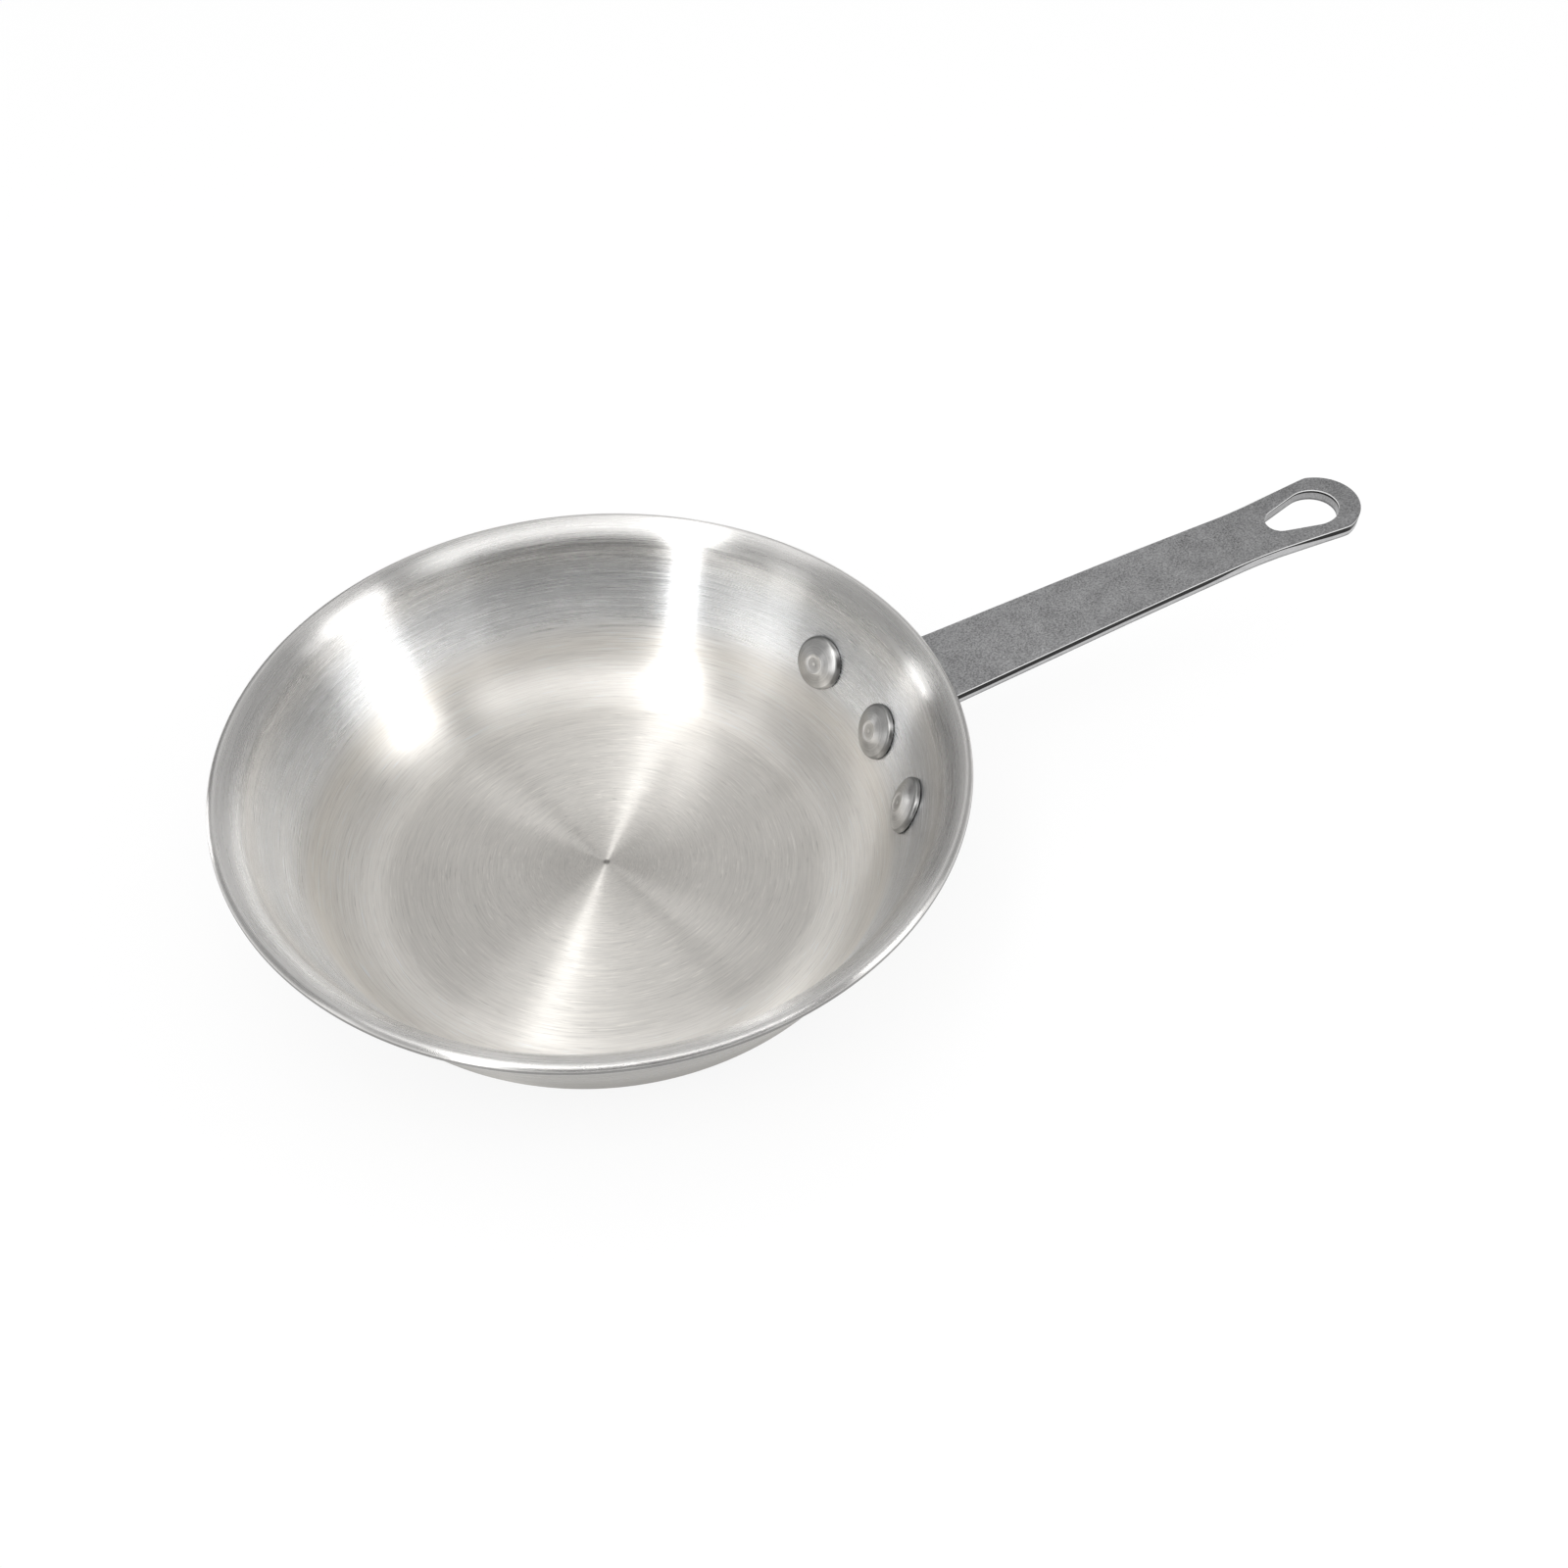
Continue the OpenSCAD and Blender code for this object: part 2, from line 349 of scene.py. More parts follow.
class Finish:
    """A node material that is built up one node at a time."""

    def __init__(self, owner):
        owner.use_nodes = True
        self.owner = owner
        self.tree = owner.node_tree
        self.tree.nodes.clear()

    def node(self, kind, settings=None, sockets=None, output=0):
        """Adds a node: its settings first, then its sockets' values or links. Gives one of its outputs."""
        made = self.tree.nodes.new(kind)
        for name, value in (settings or {}).items():
            setattr(made, name, value)
        for name, value in (sockets or {}).items():
            if isinstance(value, Reading):
                self.tree.links.new(value.socket, made.inputs[name])
            else:
                made.inputs[name].default_value = value
        return Reading(self, made.outputs[output]) if made.outputs else None

    def work(self, operation, *values):
        return self.node("ShaderNodeMath", {"operation": operation}, dict(enumerate(values)))

    def place(self, scale=1.0 / MM):
        """The Object coordinates, in millimetres unless another scale is asked for."""
        where = self.node("ShaderNodeTexCoord", output="Object")
        scaled = self.node("ShaderNodeVectorMath", {"operation": "SCALE"}, {0: where, "Scale": scale})
        split = self.node("ShaderNodeSeparateXYZ", sockets={0: scaled})
        parts = [Reading(self, out) for out in split.socket.node.outputs]
        return scaled, *parts

    def vector(self, x, y, z):
        return self.node("ShaderNodeCombineXYZ", sockets={"X": x, "Y": y, "Z": z})

    def attribute(self, name):
        """A number kept on the piece's own mesh."""
        return self.node("ShaderNodeAttribute", {"attribute_name": name}, output="Fac")

    def noise(self, vector, scale=1.0, detail=2.0, roughness=0.5):
        return self.node(
            "ShaderNodeTexNoise",
            sockets={"Vector": vector, "Scale": scale, "Detail": detail, "Roughness": roughness},
        )

    def mix(self, share, first, second):
        """Mixes two colours."""
        return self.node(
            "ShaderNodeMix",
            {"data_type": "RGBA", "clamp_factor": True},
            {0: share, 6: first, 7: second},
            output=2,
        )

    def shaded(self, colour, amount):
        """A colour made lighter or darker by a varying amount around 1."""
        return self.node("ShaderNodeVectorMath", {"operation": "SCALE"}, {0: colour, "Scale": amount})

    def bumped(self, height, distance, **under):
        """Raises the surface by a height, over the bumps that are under it already, if any are given."""
        return self.node("ShaderNodeBump", sockets={"Height": height, "Distance": distance, **under})

    def metal(self, **sockets):
        """Ends the finish with a metal shader."""
        named = {name.replace("_", " "): value for name, value in sockets.items()}
        shader = self.node(
            "ShaderNodeBsdfPrincipled", {"distribution": "MULTI_GGX"}, {"Metallic": 1.0, **named}
        )
        self.node("ShaderNodeOutputMaterial", sockets={"Surface": shader})
        return self.owner


def new_finish(name):
    return Finish(bpy.data.materials.new(name))


# The pan


def spun_aluminium():
    """Bare aluminium, brushed in rings on the lathe, so that it reflects in long rays from the centre."""
    finish = new_finish("spun_aluminium")
    where, x, y, z = finish.place()
    radius = finish.work("SQRT", x * x + y * y + 0.0001)
    along = radius + z
    cos_turn, sin_turn = x / radius, y / radius

    def rings(per_mm, length, detail=2.0):
        """Ring-shaped streaks: so many in each millimetre, and shorter as length grows."""
        streak = finish.vector(cos_turn * length, sin_turn * length, along * per_mm)
        return finish.noise(streak, detail=detail)

    fine = rings(2.6, 5.0, 3.0)
    middling = rings(0.9, 2.2)
    broad = rings(0.16, 0.8)
    ragged = rings(1.7, 22.0)
    smudge = finish.noise(where, 0.03, 3.0)
    lip_face = radius.between(LIP_FACE_R, LIP_FACE_R + 3.0)
    scratches = rings(1.9, 7.0).between(0.6, 0.7)
    cuts = 1.0 - rings(2.3, 9.0).between(0.3, 0.4)
    tone = 1.0 + (fine - 0.5) * 0.46 + (middling - 0.5) * 0.2 + (broad - 0.5) * 0.1 + (smudge - 0.5) * 0.06
    tone = tone + scratches * 0.14 - cuts * 0.12
    tone = 1.0 + (tone - 1.0) * (1.0 - lip_face * 0.35)
    centre_mark = 1.0 - radius.between(0.5, 1.3)
    tone = tone * (1.0 - centre_mark * 0.6)
    wall = z.between(14.0, 26.0)
    upper_wall = z.between(34.0, 44.0)
    outside = finish.attribute("outside")
    # The lip's outer edge and the crease inside it are painted darker, as painted shade, and the worn middle
    # of the floor is a little darker than the brushed face. The foot of the wall is painted a little lighter,
    # as a painted reflection
    painted_edge_shade = radius.between(RIM_R - 0.17, RIM_R - 0.05)
    crease_starts = radius.between(LIP_FACE_R + 0.6, LIP_FACE_R + 1.2)
    painted_crease_shade = crease_starts * (1.0 - radius.between(LIP_FACE_R + 1.6, LIP_FACE_R + 2.4))
    worn = 1.0 - radius.between(8.0, 30.0)
    painted_low_wall_light = radius.between(58.0, 66.0) * (1.0 - z.between(26.0, 36.0)) * (1.0 - outside)
    tone = tone * (1.0 - painted_edge_shade * 0.6) * (1.0 - painted_crease_shade * 0.1) * (1.0 - worn * 0.14) * (1.0 + painted_low_wall_light * 0.17)
    # The outside is painted darker than the brushed inside, and darker still just under the lip: painted shade
    # for the dark surroundings that it reflects
    painted_under_lip_shade = radius.between(RIM_R - 2.3, RIM_R - 1.5)
    tone = tone * (1.0 - outside * 0.5) * (1.0 - outside * painted_under_lip_shade * 0.6)
    # The inside of the wall is painted a cooler grey than the floor and the lip, as a painted reflection of
    # cooler light
    metal = finish.mix(wall * (1.0 - outside), FLOOR_METAL, WALL_METAL)
    metal = finish.mix(upper_wall, metal, LIP_METAL)
    colour = finish.shaded(metal, tone)
    roughness = 0.36 - wall * 0.1 + lip_face * 0.02 + (fine - 0.5) * 0.16 + (middling - 0.5) * 0.08
    grooves = finish.bumped(fine * 0.5 + middling * 0.3 + ragged * (1.0 - lip_face * 0.7) * 0.4, 0.035 * MM)
    return finish.metal(
        Base_Color=colour, Roughness=roughness, Anisotropic=1.0, Anisotropic_Rotation=0.25, Normal=grooves
    )


def make_pan_body():
    """The spun sheet: its section, from the floor up to the lip's edge and back to the base, turned round."""
    bm = bmesh.new()
    wall_degrees = math.degrees(WALL_SLOPE)
    roll_degrees = math.degrees(WALL_SLOPE - LIP_SLOPE)
    vert = bm.verts.new((0, 0, SHEET - FLOOR_DIMPLE_DEPTH))
    vert = run_on(bm, vert, (FLOOR_DIMPLE_R, 0, SHEET))
    vert = run_on(bm, vert, (HUB_R, 0, SHEET), HUB_STEPS)
    vert = run_on(bm, vert, (corner.x, 0, SHEET), FLOOR_STEPS)
    vert = turn_on(bm, vert, corner, -wall_degrees, CORNER_STEPS)
    vert = run_on(bm, vert, square_to(lip, LIP_R, WALL_SLOPE), WALL_STEPS)
    vert = turn_on(bm, vert, lip, roll_degrees, LIP_STEPS)
    vert = turn_on(bm, vert, edge, 180, EDGE_STEPS)
    inner_verts = len(bm.verts)
    vert = turn_on(bm, vert, lip, -roll_degrees, UNDER_LIP_STEPS)
    vert = run_on(bm, vert, square_to(corner, -CORNER_R - SHEET, WALL_SLOPE), WALL_STEPS)
    vert = turn_on(bm, vert, corner, wall_degrees, CORNER_STEPS)
    vert = run_on(bm, vert, (HUB_R, 0, 0), FLOOR_STEPS)
    vert = run_on(bm, vert, (BASE_DIMPLE_R, 0, 0), HUB_STEPS)
    run_on(bm, vert, (0, 0, BASE_DIMPLE_DEPTH))
    outside = bm.verts.layers.float.new("outside")
    bm.verts.ensure_lookup_table()
    for vert in bm.verts[inner_verts:]:
        vert[outside] = 1.0
    spin_profile(bm, PAN_STEPS)
    pan = finished(bm, "spun_pan", spun_aluminium(), "spun_aluminium", "pan_body")
    drill(pan)
    return pan


# The rivets


def rivet_aluminium():
    """Turned solid aluminium, with ring marks on the dome and the crown, painted shade towards its joint and a
    painted shadow filling the joint.
    """
    finish = new_finish("rivet_aluminium")
    where = finish.place()[0]
    along = finish.attribute("along")
    joint = finish.attribute("joint")
    pits = finish.noise(where, 2.4, 4.0, 0.6)
    smudge = finish.noise(where, 0.35, 3.0)
    turning = finish.noise(finish.vector(along * 2.2, smudge * 1.6, 0.0), 1.0, 2.0)
    crown = 1.0 - along.between(CROWN_R - 0.5, CROWN_R + 0.2)
    ring = along.between(1.7, 2.3) * (1.0 - along.between(2.4, 3.0))
    pip = 1.0 - along.between(0.3, 0.7)
    tone = 1.0 + (pits - 0.5) * 0.24 + (smudge - 0.5) * 0.2 + (turning - 0.5) * 0.7
    tone = tone * (1.0 - crown * 0.2 + ring * 0.24 + pip * 0.26)
    # Painted shade: the head darkens towards its joint with the wall
    tone = tone * (1.0 - joint.between(0.14, 0.3) * 0.45)
    colour = finish.shaded(RIVET_METAL, tone)
    # A painted shadow, nearly black, fills the joint itself
    painted_joint_shadow = joint.between(0.84, 0.92)
    colour = finish.mix(painted_joint_shadow * 0.97, colour, PAINTED_SHADE_BLACK)
    roughness = 0.3 + crown * 0.02 + painted_joint_shadow * 0.4 + (pits - 0.5) * 0.12
    marks = finish.bumped(turning, 0.03 * MM)
    dents = finish.bumped(pits, 0.006 * MM, Normal=marks)
    return finish.metal(Base_Color=colour, Roughness=roughness, Normal=dents)


def seated(place, point, level):
    """Slides a point in a rivet's frame along its axis, on to the surface of the wall with that constant."""
    point = point.copy()
    for _ in range(4):
        at = place @ point
        point.z += wall_sin * math.hypot(at.x, at.y) - wall_cos * at.z - level
    return point


def make_rivet(name, material):
    """A solid rivet: a domed head with a flat crown, a shank, and a set head against the saddle."""
    angle, height = RIVETS[name]
    place = rivet_frame(angle, height)
    grip = SHEET + BAR
    shoulder = Vector((HEAD_R - SHOULDER_R, 0, HEAD_EDGE))
    head_ball = (shoulder.x + SHOULDER_R * math.sin(DOME_SLOPE)) / math.sin(DOME_SLOPE)
    head_centre = HEAD_EDGE + (SHOULDER_R - head_ball) * math.cos(DOME_SLOPE)
    tail_ball = (TAIL_R**2 + TAIL_DOME**2) / (2 * TAIL_DOME)
    tail_centre = -(grip + TAIL_EDGE + TAIL_DOME - tail_ball)
    crown_lean = math.asin(CROWN_R / head_ball)
    crown_z = head_centre + head_ball * math.cos(crown_lean)
    tail_lean = math.degrees(math.asin((TAIL_R - TAIL_ROUND_W) / tail_ball))
    tail_rim_z = tail_centre - tail_ball * math.cos(math.radians(tail_lean))
    shank = SHANK_R - SHANK_GAP

    bm = bmesh.new()
    vert = bm.verts.new((0, 0, crown_z + PIP_Z))
    for x, z, steps in CROWN_PROFILE:
        vert = run_on(bm, vert, (x, 0, crown_z + z), steps)
    vert = turn_on(bm, vert, (0, 0, head_centre), math.degrees(DOME_SLOPE - crown_lean), DOME_STEPS)
    vert = turn_on(bm, vert, shoulder, 90 - math.degrees(DOME_SLOPE), SHOULDER_STEPS)
    for inset, z in FOOT_PROFILE:
        vert = run_on(bm, vert, (HEAD_R - inset, 0, z), 2)
    vert = run_on(bm, vert, (shank, 0, 0), 3)
    vert = run_on(bm, vert, (shank, 0, -grip), SHANK_STEPS)
    vert = run_on(bm, vert, (TAIL_R - TAIL_FOOT_W, 0, -grip), 2)
    vert = run_on(bm, vert, (TAIL_R, 0, -grip - TAIL_FOOT_H))
    vert = run_on(bm, vert, (TAIL_R, 0, tail_rim_z + TAIL_ROUND_H))
    vert = run_on(bm, vert, (TAIL_R - TAIL_ROUND_W, 0, tail_rim_z))
    turn_on(bm, vert, (0, 0, tail_centre), tail_lean, TAIL_STEPS)
    spin_profile(bm, RIVET_STEPS)
    # How near the head's surface is to the wall: 1 on it, and 0 from JOINT_H above it
    joint = bm.verts.layers.float.new("joint")
    for vert in bm.verts:
        on_wall = seated(place, Vector((vert.co.x, vert.co.y, 0)), wall_k).z
        if vert.co.z > -SHEET / 2:
            vert[joint] = min(1.0, max(0.0, 1 - (vert.co.z - on_wall) / JOINT_H))
    for vert in bm.verts:
        under_head = -SEAT_SLACK < vert.co.z < SEAT_REACH
        on_saddle = -grip - SEAT_REACH < vert.co.z < SEAT_SLACK - grip
        flat = vert.co.copy()
        if under_head:
            flat.z = 0
            vert.co.z += seated(place, flat, wall_k).z
        elif on_saddle:
            flat.z = -grip
            vert.co.z += seated(place, flat, wall_k + grip).z + grip
    bmesh.ops.transform(bm, matrix=place, verts=bm.verts)
    return finished(bm, f"{name}_formed", material, "rivet_aluminium", name)


# The handle


def plated_steel():
    """Steel strip under a dull plating, grainy on its faces, with a painted highlight and a painted dark
    reflection along its cut edges, and painted shade inside the hanging hole.
    """
    finish = new_finish("plated_steel")
    where, x, y, z = finish.place()
    depth = finish.attribute("depth")
    grain = finish.noise(where, 1.9, 3.0, 0.7)
    mottle = finish.noise(where, 0.16, 3.0)
    drawn = finish.noise(finish.vector(x * 0.25, y * 2.5, z * 2.5), 1.0, 3.0)
    tone = 1.0 + (grain - 0.5) * 2.5 + (mottle - 0.5) * 0.6 + (drawn - 0.5) * 0.2
    face = finish.shaded(PLATED, tone)
    # A cut edge has a painted highlight on its rolled corner, a burnished band under it painted nearly black
    # as a painted dark reflection, and a paler torn band below that
    painted_corner_highlight = depth.between(0.004, 0.02) * (1.0 - depth.between(0.09, 0.12))
    cut = depth.between(0.08, 0.12) * (1.0 - depth.between(0.93, 0.97))
    swell = finish.noise(finish.vector(x * 0.03, y * 0.03, 0.0), 1.0, 1.0)
    by_neck = 1.0 - finish.work("ABSOLUTE", x - NECK_X).between(4.0, 22.0)
    # In the hanging hole the dark band is narrower and the torn band is painted darker, as painted shade in
    # the recess
    across_hole = 1.0 - finish.work("ABSOLUTE", y).between(HOLE_HALF, HOLE_HALF + 1.0)
    in_hole = across_hole * x.between(HOLE_FROM, HOLE_FROM + 2.0) * (1.0 - x.between(HOLE_TO - 1.0, HOLE_TO))
    lower = (0.48 + swell * 0.12 - by_neck * 0.32) * (1.0 - in_hole * 0.5)
    painted_dark_band = depth.between(0.085, 0.12) * (1.0 - (depth - lower).between(0.0, 0.04))
    burr = depth.between(0.8, 0.9)
    torn_tone = 1.0 + (drawn - 0.5) * 0.5 + (grain - 0.5) * 0.4 - burr * 0.4 - in_hole * 0.35
    torn = finish.shaded(TORN, torn_tone)
    colour = finish.mix(cut, face, torn)
    colour = finish.mix(painted_dark_band * 0.97, colour, PAINTED_SHADE_BLACK)
    colour = finish.mix(painted_corner_highlight, colour, PAINTED_HIGHLIGHT)
    roughness = 0.5 + (grain - 0.5) * 0.3 - cut * 0.18 - painted_corner_highlight * 0.25
    pits = finish.bumped(grain * 0.8 + mottle * 0.2, 0.05 * MM)
    return finish.metal(Base_Color=colour, Roughness=roughness, Normal=pits)


def bar_top(x):
    past = max(0.0, x - CURVE_X)
    return BAR_Z + x * math.tan(BAR_SLOPE) - past**2 / (2 * CURVE_R * math.cos(BAR_SLOPE) ** 3)


# The bend's outer face is tangent to the outside of the wall and to the bar's top
meet_x = (wall_k + SHEET + wall_cos * BAR_Z) / (wall_sin - wall_cos * math.tan(BAR_SLOPE))
meet = Vector((meet_x, 0, bar_top(meet_x)))
bend_from = meet - BEND_R * math.tan((WALL_SLOPE - BAR_SLOPE) / 2) * Vector((wall_cos, 0, wall_sin))
bend_centre = square_to(bend_from, -BEND_R, WALL_SLOPE)
root = square_to(bend_centre, BEND_R, BAR_SLOPE)
# Distances along the strip run up the wall from its line's own zero, then round the bend and out along X
bend_at = wall_cos * bend_from.x + wall_sin * bend_from.z
root_at = bend_at + BEND_R * (WALL_SLOPE - BAR_SLOPE)
to_strip = root_at - root.x
# Where the outer rivets cross the middle of the saddle's thickness
mid_depth = SHEET + BAR / 2
mid_r = (wall_k + wall_cos * SIDE_RIVET_Z) / wall_sin + mid_depth * wall_sin
wing_y = mid_r * math.sin(RIVET_ANGLE)
wing_at = mid_r * math.cos(RIVET_ANGLE) * wall_cos + (SIDE_RIVET_Z - mid_depth * wall_cos) * wall_sin


def strip_section(at, depth):
    """A point in the handle's middle plane: at along the strip, and depth below its top face."""
    if at < bend_at:
        point = bend_from + (at - bend_at) * Vector((wall_cos, 0, wall_sin))
        return square_to(point, -depth, WALL_SLOPE)
    if at < root_at:
        slope = WALL_SLOPE - (at - bend_at) / BEND_R
        return square_to(bend_centre, BEND_R - depth, slope)
    x = at - to_strip
    slope = math.atan(math.tan(BAR_SLOPE) - max(0.0, x - CURVE_X) / (CURVE_R * math.cos(BAR_SLOPE) ** 3))
    # Past its root, the strip's cut edges stand upright
    lean = max(0.0, 1 - (at - root_at) / UPRIGHT_RUN)
    drop = lean * math.cos(slope) + (1 - lean) / math.cos(slope)
    return Vector((x + lean * depth * math.sin(slope), 0, bar_top(x) - (1 - lean) * ROOT_STEP - depth * drop))


def pressed(flat):
    """Where a point of the flat blank goes when the blank is pressed to shape: X along it and Y across."""
    at, y, depth = flat.x, flat.y, -flat.z
    share = min(1.0, max(0.0, (at - bend_at) / (root_at + FLAT_RUN - bend_at)))
    curl = 1 - share * share * (3 - 2 * share)
    point = strip_section(at, depth)
    for _ in range(3):
        sag = point.x - math.sqrt(point.x**2 - y * y)
        point = strip_section(at + curl * wall_cos * sag, depth)
    sag = point.x - math.sqrt(point.x**2 - y * y)
    return Vector((point.x - curl * sag, y, point.z))


def half_blank(bm):
    """The flat outline of one half of the handle, with half of the hanging hole, as one face."""
    lean = math.asin((WIDE_R - NARROW_R) / (WIDE_X - NARROW_X))
    lean_degrees = math.degrees(lean)

    def flare_at(x):
        return NECK_HALF + FLARE * (x - NECK_X)

    # Where the flare meets the round end
    x = END_X
    for _ in range(20):
        x = END_X + math.sqrt(max(0.0, END_R**2 - flare_at(x) ** 2))
    end_degrees = math.degrees(math.atan2(flare_at(x), x - END_X))

    def plan(point_x, y):
        return Vector((point_x + to_strip, 0, y))

    # Drawn in the XZ plane, with Z across the strip, and laid flat at the end
    first = bm.verts.new((wing_at - SADDLE_R, 0, 0))
    vert = run_on(bm, first, (wing_at - SADDLE_R, 0, wing_y))
    vert = turn_on(bm, vert, (wing_at, 0, wing_y), 180, WING_STEPS)
    vert = run_on(bm, vert, (wing_at + SADDLE_R, 0, ROOT_HALF + SADDLE_FILLET))
    fillet = (wing_at + SADDLE_R + SADDLE_FILLET, 0, ROOT_HALF + SADDLE_FILLET)
    vert = turn_on(bm, vert, fillet, -90, FILLET_STEPS)
    vert = run_on(bm, vert, plan(root.x, ROOT_HALF))
    neck = run_on(bm, vert, plan(NECK_X, NECK_HALF))
    shoulder = run_on(bm, neck, plan(x, flare_at(x)))
    vert = turn_on(bm, shoulder, plan(END_X, 0), end_degrees, END_STEPS)
    vert = run_on(bm, vert, plan(WIDE_X + WIDE_R, 0))
    vert = turn_on(bm, vert, plan(WIDE_X, 0), -(90 + lean_degrees), WIDE_STEPS)
    vert = run_on(bm, vert, plan(NARROW_X - NARROW_R * math.sin(lean), NARROW_R * math.cos(lean)))
    vert = turn_on(bm, vert, plan(NARROW_X, 0), -(90 - lean_degrees), NARROW_STEPS)
    bm.edges.new((vert, first))
    bmesh.ops.contextual_create(bm, geom=bm.edges[:])
    for kink, reach in ((neck, NECK_ROUND), (shoulder, FLARE_ROUND)):
        bmesh.ops.bevel(
            bm, geom=[kink], offset=reach, affect="VERTICES", segments=KINK_STEPS, profile=0.5, material=-1
        )
    bmesh.ops.rotate(bm, verts=bm.verts, matrix=Matrix.Rotation(math.radians(-90), 3, "X"))


def steps_between(start, end, pitch):
    """Evenly spaced values strictly between two ends, about a pitch apart."""
    count = max(1, round((end - start) / pitch))
    return [start + (end - start) * k / count for k in range(1, count)]


def split(bm, point, normal):
    """Cuts every face that a plane crosses."""
    bmesh.ops.bisect_plane(
        bm, geom=bm.verts[:] + bm.edges[:] + bm.faces[:], dist=0.0001, plane_co=point, plane_no=normal
    )


def make_handle():
    """One strip, blanked with its hanging hole and pressed into a saddle, a bend and a bar."""
    bm = bmesh.new()
    half_blank(bm)
    fine_end = root_at + FINE_RUN
    cuts = steps_between(wing_at - SADDLE_R, bend_at, SADDLE_PITCH)
    cuts += steps_between(bend_at, fine_end, BEND_PITCH)
    cuts += steps_between(fine_end, TIP_X + to_strip, BAR_PITCH)
    for x in cuts:
        split(bm, (x, 0, 0), (1, 0, 0))
    for y in steps_between(0, wing_y + SADDLE_R, LENGTHWISE_PITCH):
        split(bm, (0, y, 0), (0, 1, 0))
    bmesh.ops.mirror(bm, geom=bm.verts[:] + bm.edges[:] + bm.faces[:], axis="Y", merge_dist=0.001)
    bmesh.ops.recalc_face_normals(bm, faces=bm.faces)
    raised = bmesh.ops.extrude_face_region(bm, geom=bm.faces[:], use_keep_orig=True)
    lowered = [v for v in raised["geom"] if isinstance(v, bmesh.types.BMVert)]
    bmesh.ops.translate(bm, verts=lowered, vec=(0, 0, -BAR))
    bmesh.ops.recalc_face_normals(bm, faces=bm.faces)
    bm.normal_update()
    rims = [
        e for e in bm.edges
        if len(e.link_faces) == 2 and abs(abs(e.link_faces[0].normal.z) - abs(e.link_faces[1].normal.z)) > 0.5
    ]
    bmesh.ops.bevel(
        bm, geom=rims, offset=RIM_BEVEL, affect="EDGES", segments=3, profile=0.5, material=-1,
        clamp_overlap=True,
    )
    depth = bm.verts.layers.float.new("depth")
    for vert in bm.verts:
        vert[depth] = -vert.co.z / BAR
        vert.co = pressed(vert.co)
    bmesh.ops.recalc_face_normals(bm, faces=bm.faces)
    handle = finished(bm, "steel_handle", plated_steel(), "plated_steel", "handle")
    drill(handle)
    even = handle.modifiers.new("even shading", "WEIGHTED_NORMAL")
    even.keep_sharp = False
    settle(handle)
    return handle


# The studio

# Distance of the lamps and the cards, in metres, and the height that they face
STUDIO_R = 1.4
AIM_Z = 0.03
# The floor's radius and its gap under the base, in metres
FLOOR_R = 8
FLOOR_GAP = 0.0003
FLOOR_GREY = 0.82
# Share of plain white in the floor's colour where it is seen
FLOOR_WHITE = 0.86
# Strength of the even light, and how much dimmer the ceiling is than the white walls where it is seen
EVEN_LIGHT = 0.8
CEILING_DIM = 0.65
# The camera: its lens in millimetres, its place, the direction behind it, and its roll
LENS = 38.25
SENSOR = 36
CAMERA_PLACE = (-0.0717, -0.3048, 0.3730)
CAMERA_BACK = (-0.2602, -0.6251, 0.7359)
CAMERA_ROLL = math.radians(0.79)
# The lamps: azimuth, elevation, width and height in degrees, brightness and spin
LAMPS = {
    "low_strip": (220.4, 26, 8, 42, 2.6, 0),
    "high_strip": (203, 62, 9, 38, 2.6, 27),
    "overhead": (127, 74, 24, 24, 0.9, 0),
    "right_window": (-29.0, 28.5, 18, 36, 2.2, -19),
    "right_shutter": (-15.2, 24, 9, 36, 0.6, -19),
    "right_pane": (-54.0, 27, 24, 36, 0.3, -14),
    "left_window": (186.4, 16, 12, 30, 0.55, 0),
    "side_window": (42.4, 4.5, 32, 7, 0.25, 0),
    "back_window": (134.4, 5.5, 11, 10, 4.0, 0),
    "front": (257.4, 67, 60, 22, 1.75, 0),
    "back": (72.4, 48, 30, 36, 0.35, 0),
}
# Watts for each square metre of a lamp of brightness 1
WHITE_WATTS = 4
# The dark cards: azimuth, elevation, width and height in degrees
DARK_CARDS = {"camera_side": (272.4, 21, 84, 50), "far_side": (111, 7, 40, 22)}
CARD_GREY = 0.02


def white_when_seen(finish):
    """1 for rays that show the background itself, in the picture or in a reflection."""
    path = finish.node("ShaderNodeLightPath").socket.node
    seen = [Reading(finish, path.outputs[name]) for name in (
        "Is Camera Ray", "Is Glossy Ray", "Is Transmission Ray")]
    return finish.work("MINIMUM", seen[0] + seen[1] + seen[2], 1.0)


def make_floor():
    bm = bmesh.new()
    bmesh.ops.create_circle(bm, cap_ends=True, segments=64, radius=FLOOR_R)
    bmesh.ops.translate(bm, verts=bm.verts, vec=(0, 0, -FLOOR_GAP))
    mesh = bpy.data.meshes.new("floor")
    bm.to_mesh(mesh)
    bm.free()
    floor = bpy.data.objects.new("floor", mesh)
    bpy.context.scene.collection.objects.link(floor)
    finish = new_finish("studio_floor")
    matt = finish.node("ShaderNodeBsdfDiffuse", sockets={"Color": (FLOOR_GREY, FLOOR_GREY, FLOOR_GREY, 1)})
    glow = finish.node("ShaderNodeEmission", sockets={"Color": WHITE, "Strength": 1.0})
    seen = white_when_seen(finish) * FLOOR_WHITE
    mixed = finish.node("ShaderNodeMixShader", sockets={0: seen, 1: matt, 2: glow})
    finish.node("ShaderNodeOutputMaterial", sockets={"Surface": mixed})
    mesh.materials.append(finish.owner)


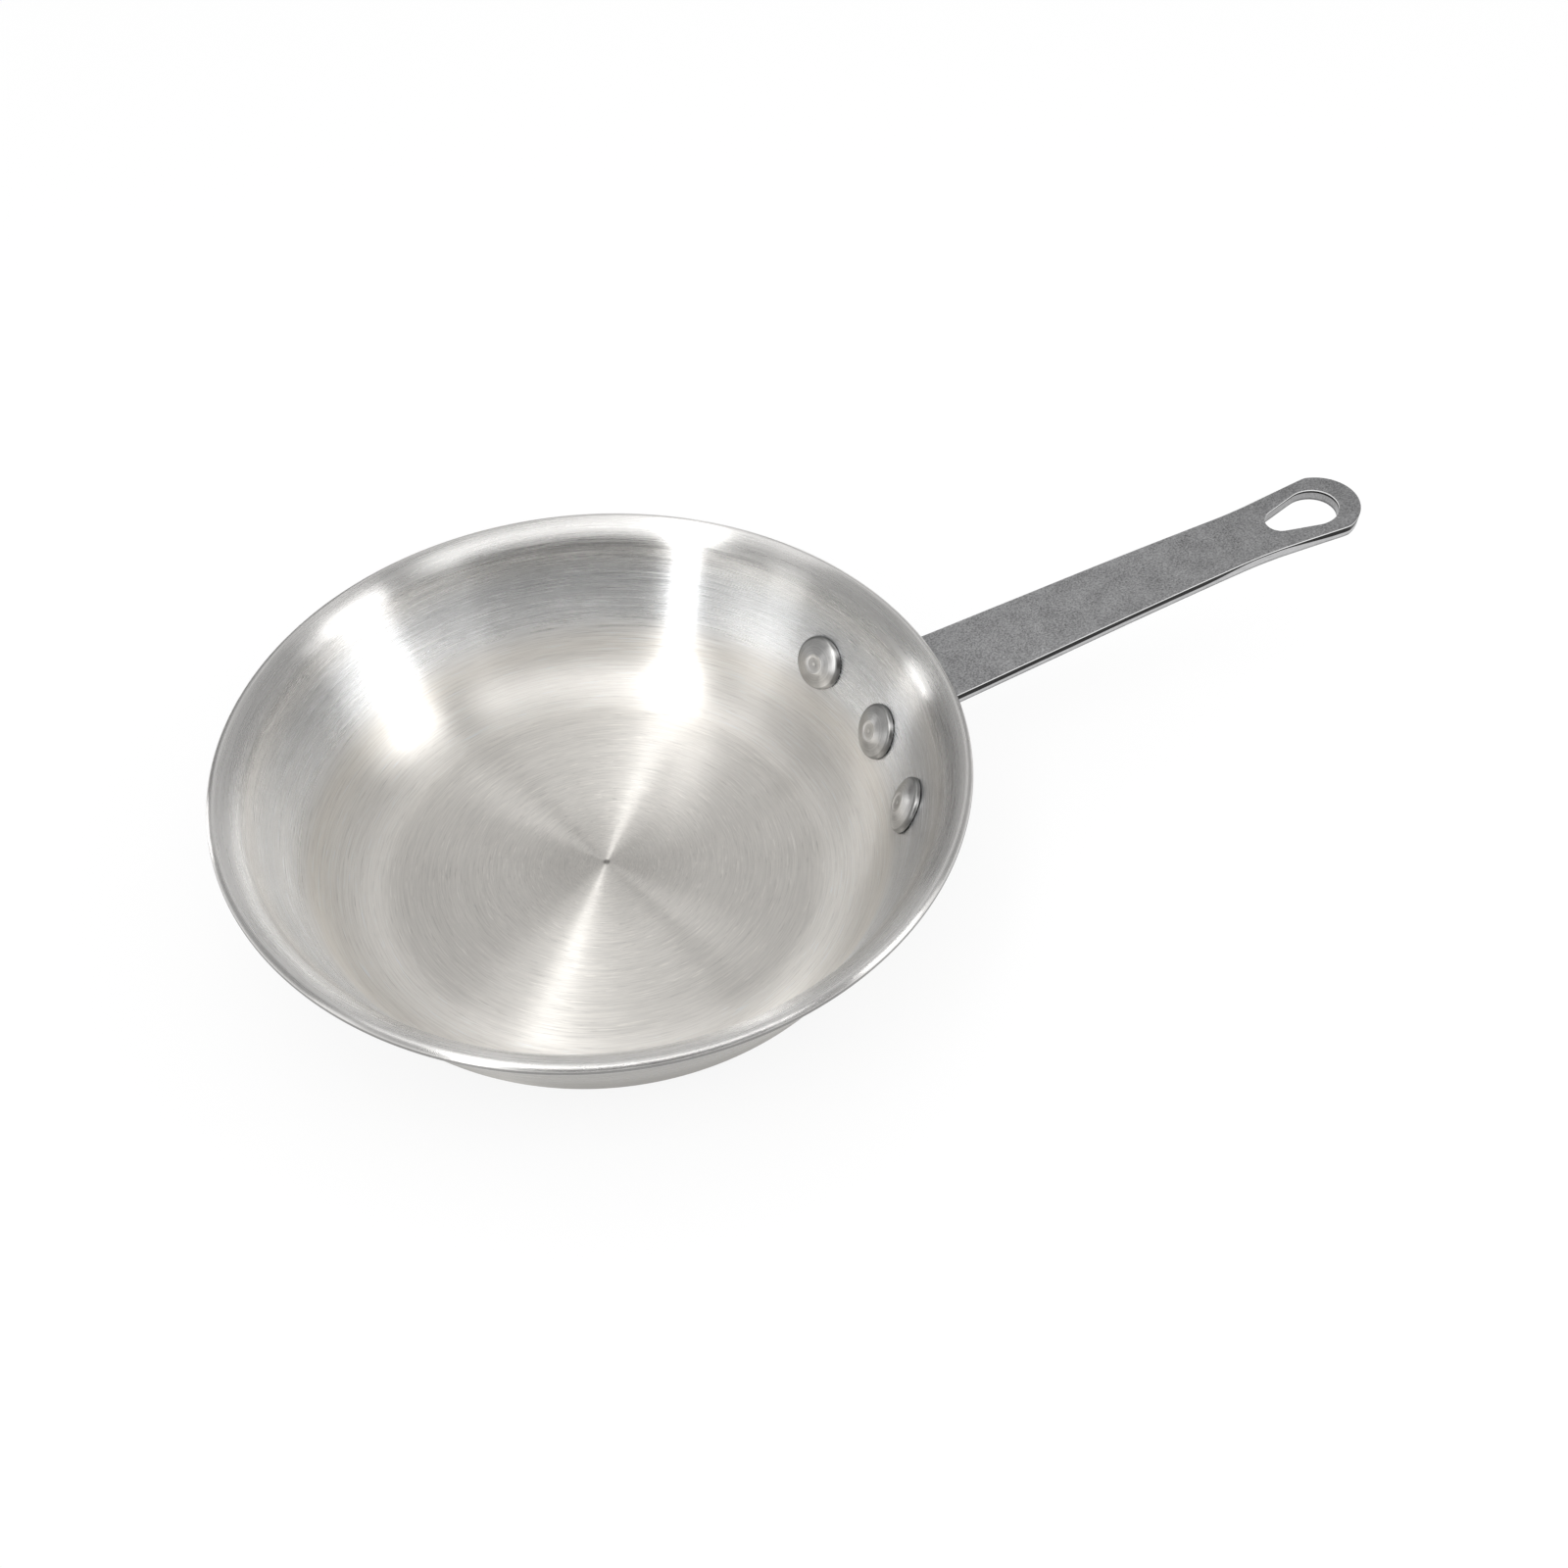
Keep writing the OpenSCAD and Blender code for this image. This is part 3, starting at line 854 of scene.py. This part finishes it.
def make_world():
    """The studio's room: white walls with a dim ceiling where it is seen, and an even light elsewhere."""
    world = bpy.data.worlds.new("studio")
    bpy.context.scene.world = world
    finish = Finish(world)
    height = finish.place(1.0)[3]
    room = 1.0 - height.between(0.0, 0.2) * CEILING_DIM
    dim = finish.node("ShaderNodeBackground", sockets={"Color": WHITE, "Strength": EVEN_LIGHT})
    white = finish.node("ShaderNodeBackground", sockets={"Color": WHITE, "Strength": room})
    mixed = finish.node("ShaderNodeMixShader", sockets={0: white_when_seen(finish), 1: dim, 2: white})
    finish.node("ShaderNodeOutputWorld", sockets={"Surface": mixed})


def stand(thing, azimuth, elevation, spin):
    """Stands a lamp or a card so that it faces the pan, turned by spin about the line between them."""
    turn, rise = math.radians(azimuth), math.radians(elevation)
    direction = Vector((math.cos(turn) * math.cos(rise), math.sin(turn) * math.cos(rise), math.sin(rise)))
    facing = direction.to_track_quat("Z", "Y").to_matrix().to_4x4()
    spun = Matrix.Rotation(math.radians(spin), 4, "Z")
    place = Vector((0, 0, AIM_Z)) + STUDIO_R * direction
    thing.matrix_world = Matrix.Translation(place) @ facing @ spun
    bpy.context.scene.collection.objects.link(thing)


def across(degrees):
    """The length that spans so many degrees, seen from the pan."""
    return 2 * STUDIO_R * math.tan(math.radians(degrees / 2))


def softbox(name, azimuth, elevation, width, height, brightness, spin):
    """A rectangular lamp, sized in degrees, that adds brightness times white where it is seen."""
    lamp = bpy.data.lights.new(name, "AREA")
    lamp.shape = "RECTANGLE"
    lamp.size, lamp.size_y = across(width), across(height)
    lamp.energy = WHITE_WATTS * lamp.size * lamp.size_y * brightness
    stand(bpy.data.objects.new(name, lamp), azimuth, elevation, spin)


def dark_card(name, azimuth, elevation, width, height):
    """A card, sized in degrees, that only reflections show: it stands for the dark side of the studio."""
    bm = bmesh.new()
    bmesh.ops.create_grid(bm, x_segments=1, y_segments=1, size=0.5)
    bmesh.ops.scale(bm, vec=(across(width), across(height), 1), verts=bm.verts)
    mesh = bpy.data.meshes.new(name)
    bm.to_mesh(mesh)
    bm.free()
    finish = new_finish(name)
    shade = finish.node("ShaderNodeEmission", sockets={"Color": WHITE, "Strength": CARD_GREY})
    finish.node("ShaderNodeOutputMaterial", sockets={"Surface": shade})
    mesh.materials.append(finish.owner)
    card = bpy.data.objects.new(name, mesh)
    card.visible_camera = card.visible_diffuse = card.visible_shadow = False
    stand(card, azimuth, elevation, 0)


def make_camera():
    """The photograph's point of view."""
    sight = bpy.data.cameras.new("camera")
    sight.lens = LENS
    sight.sensor_width = SENSOR
    camera = bpy.data.objects.new("camera", sight)
    back = Vector(CAMERA_BACK).normalized()
    level = Vector((-back.y, back.x, 0)).normalized()
    right = math.cos(CAMERA_ROLL) * level + math.sin(CAMERA_ROLL) * back.cross(level)
    up = back.cross(right)
    turned = Matrix((right, up, back)).transposed().to_4x4()
    camera.matrix_world = Matrix.Translation(CAMERA_PLACE) @ turned
    bpy.context.scene.collection.objects.link(camera)
    bpy.context.scene.camera = camera


make_camera()
make_world()
make_floor()
for lamp_name, lamp_place in LAMPS.items():
    softbox(lamp_name, *lamp_place)
for card_name, card_place in DARK_CARDS.items():
    dark_card(card_name, *card_place)
bpy.context.scene.view_settings.view_transform = "Standard"

make_pan_body()
rivet_finish = rivet_aluminium()
for rivet in RIVETS:
    make_rivet(rivet, rivet_finish)
make_handle()
